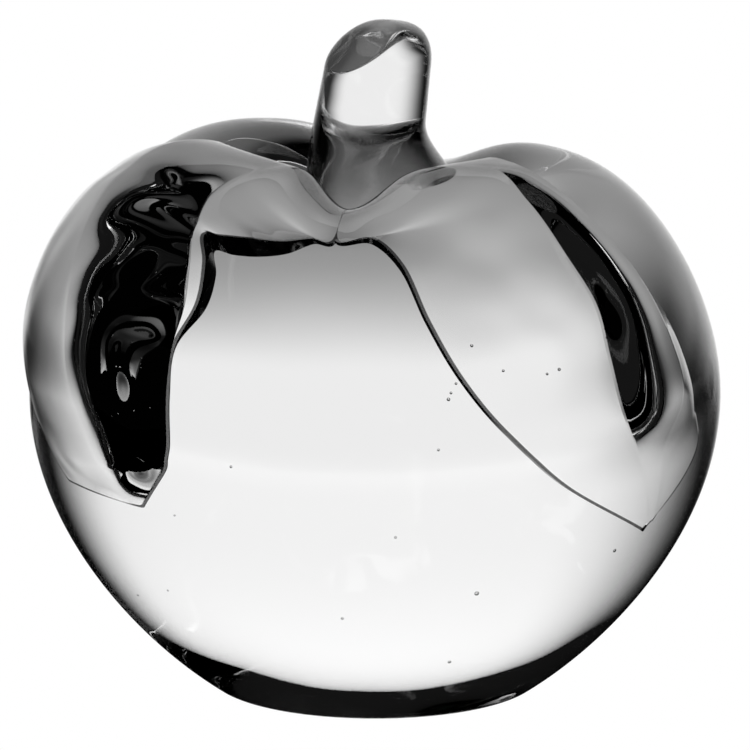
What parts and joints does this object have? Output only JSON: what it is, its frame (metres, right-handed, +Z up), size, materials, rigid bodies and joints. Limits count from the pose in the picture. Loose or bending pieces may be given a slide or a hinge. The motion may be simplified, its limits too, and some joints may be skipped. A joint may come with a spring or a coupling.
{
  "type": "glass apple paperweight",
  "caption": "Solid clear glass apple ornament with a domed stem, glass leaves draped over the shoulder and a flat ground foot; stands as a paperweight or shelf piece.",
  "frame": {"origin": "centre of the ground foot, on the surface that the apple stands on", "axes": "+Z up through the stem, -Y towards the side that the leaves cover, +X to the right seen from that side"},
  "size_m": [0.0983, 0.098, 0.0951],
  "materials": {
    "body_glass": "clear fire-polished glass, ground and polished under the foot",
    "stem_glass": "clear fire-polished glass",
    "leaf_glass": "clear hand-tooled glass"
  },
  "bodies": {
    "root": {"apple_body": "body_glass", "stem": "stem_glass", "left_leaf": "leaf_glass", "right_leaf": "leaf_glass"}
  },
  "joints": []
}
